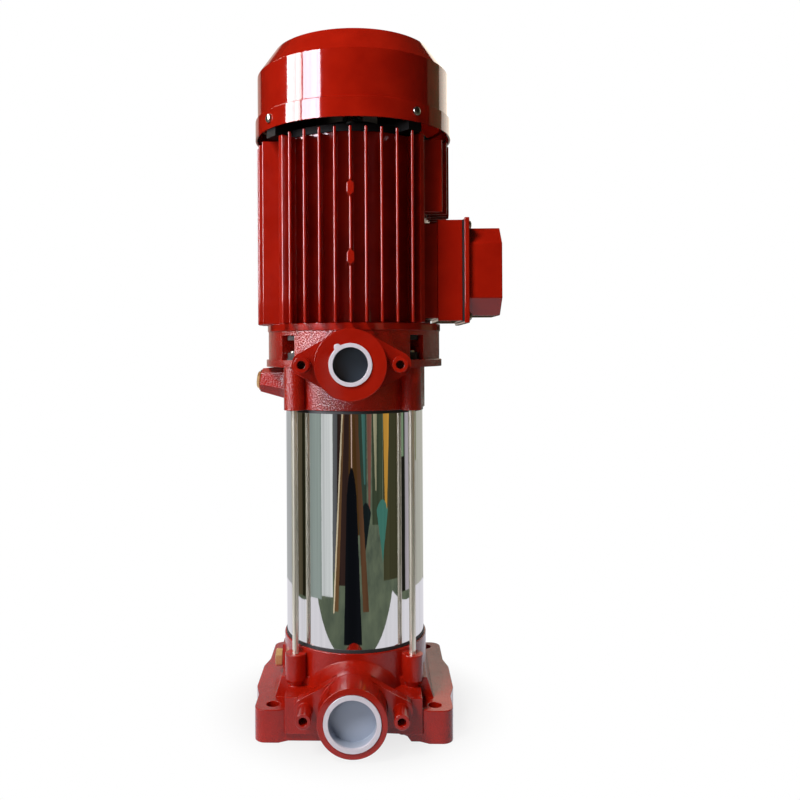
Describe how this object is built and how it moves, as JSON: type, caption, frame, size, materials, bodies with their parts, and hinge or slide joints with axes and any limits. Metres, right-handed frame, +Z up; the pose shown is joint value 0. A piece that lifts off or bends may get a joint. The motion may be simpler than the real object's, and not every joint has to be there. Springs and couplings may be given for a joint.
{
  "type": "fire pump",
  "caption": "Vertical multistage fire pump: red foot casting with inlet, polished sleeve on tie rods, head casting with outlet, and a finned motor with fan cover and terminal box.",
  "frame": {"origin": "on the shaft's axis, in the plane of the foot's underside, at the centre of its four bolt holes", "axes": "+Z up along the shaft, -Y towards both ports, +X towards the terminal box"},
  "size_m": [0.2818, 0.2575, 0.759],
  "materials": {
    "red_casting": "glossy red enamel over a rough casting",
    "red_sheet": "glossy red enamel, smooth",
    "polished_steel": "mirror polished stainless steel",
    "pressed_steel": "plain stainless steel",
    "plated_steel": "bright zinc plate",
    "bearing_steel": "ground bearing steel",
    "black_rubber": "matt black rubber",
    "white_plastic": "soft white polyethylene",
    "black_plastic": "black moulded plastic",
    "plain_brass": "plain turned brass",
    "copper": "bare copper",
    "seal_ceramic": "dark seal ceramic and bush material",
    "laminations": "stacked steel sheets"
  },
  "bodies": {
    "pump": {"pump_base": "red_casting", "lower_seal_ring": "black_rubber", "outer_sleeve": "polished_steel", "upper_seal_ring": "black_rubber", "tie_rods": "plated_steel", "tie_rod_washers": "plated_steel", "tie_rod_nuts": "plated_steel", "pump_head": "red_casting", "bearing_spider": "pressed_steel", "lower_bush": "seal_ceramic", "stage_bowl_1": "pressed_steel", "stage_bowl_2": "pressed_steel", "stage_bowl_3": "pressed_steel", "stage_bowl_4": "pressed_steel", "stage_bowl_5": "pressed_steel", "wear_rings": "seal_ceramic", "diffusers": "pressed_steel", "discharge_spacer": "pressed_steel", "seal_seat": "seal_ceramic", "motor_flange": "red_casting", "motor_bolts": "plated_steel", "drive_bearing_outer": "bearing_steel", "fan_bearing_outer": "bearing_steel", "wave_spring": "plated_steel", "motor_frame": "red_casting", "stator_core": "laminations", "stator_windings": "copper", "fan_end_shield": "red_casting", "fan_cover_screws": "plated_steel", "end_shield_screws": "plated_steel", "fan_cover": "red_sheet", "terminal_box": "red_sheet", "terminal_gasket": "black_rubber", "terminal_cover": "red_sheet", "terminal_cover_screws": "plated_steel", "terminal_board": "black_plastic", "terminal_studs": "plain_brass", "cable_gland": "black_plastic"},
    "rotor": {"rotor_shaft": "pressed_steel", "shaft_nut": "plated_steel", "impeller_1": "pressed_steel", "impeller_2": "pressed_steel", "impeller_3": "pressed_steel", "impeller_4": "pressed_steel", "impeller_5": "pressed_steel", "impeller_spacers": "pressed_steel", "seal_head": "seal_ceramic", "seal_bellows": "pressed_steel", "drive_bearing_inner": "bearing_steel", "fan_bearing_inner": "bearing_steel", "bearing_balls": "bearing_steel", "rotor_core": "laminations", "cooling_fan": "black_plastic", "fan_clip": "plated_steel"},
    "inlet_cap": {"inlet_cap": "white_plastic"},
    "outlet_cap": {"outlet_cap": "white_plastic"},
    "fill_seal": {"fill_washer": "copper"},
    "fill_plug": {"fill_plug": "plain_brass"},
    "drain_seal": {"drain_washer": "copper"},
    "drain_plug": {"drain_plug": "plain_brass"}
  },
  "joints": [
    {"name": "rotor_spin", "type": "hinge", "parent": "pump", "child": "rotor", "pos_m": [0, 0, 0.3], "axis": [0, 0, 1], "continuous": true},
    {"name": "inlet_cap_pull", "type": "slide", "parent": "pump", "child": "inlet_cap", "axis": [0, -1, 0], "range_m": [0, 0.03]},
    {"name": "outlet_cap_pull", "type": "slide", "parent": "pump", "child": "outlet_cap", "axis": [0, -1, 0], "range_m": [0, 0.03]},
    {"name": "fill_plug_rise", "type": "slide", "parent": "pump", "child": "fill_seal", "axis": [-0.9962, 0, 0.0872], "range_m": [0, 0.01203]},
    {"name": "fill_plug_turn", "type": "hinge", "parent": "fill_seal", "child": "fill_plug", "pos_m": [-0.0826, 0, 0.3786], "axis": [-0.9962, 0, 0.0872], "range_deg": [0, 3241]},
    {"name": "drain_plug_rise", "type": "slide", "parent": "pump", "child": "drain_seal", "axis": [-1, 0, 0], "range_m": [0, 0.0107]},
    {"name": "drain_plug_turn", "type": "hinge", "parent": "drain_seal", "child": "drain_plug", "pos_m": [-0.0826, 0, 0.053], "axis": [-1, 0, 0], "range_deg": [0, 2881]}
  ],
  "couplings": [
    {"joint": "fill_plug_turn", "follows": "fill_plug_rise", "rad_per_m": 4699.5},
    {"joint": "drain_plug_turn", "follows": "drain_plug_rise", "rad_per_m": 4699.5}
  ]
}
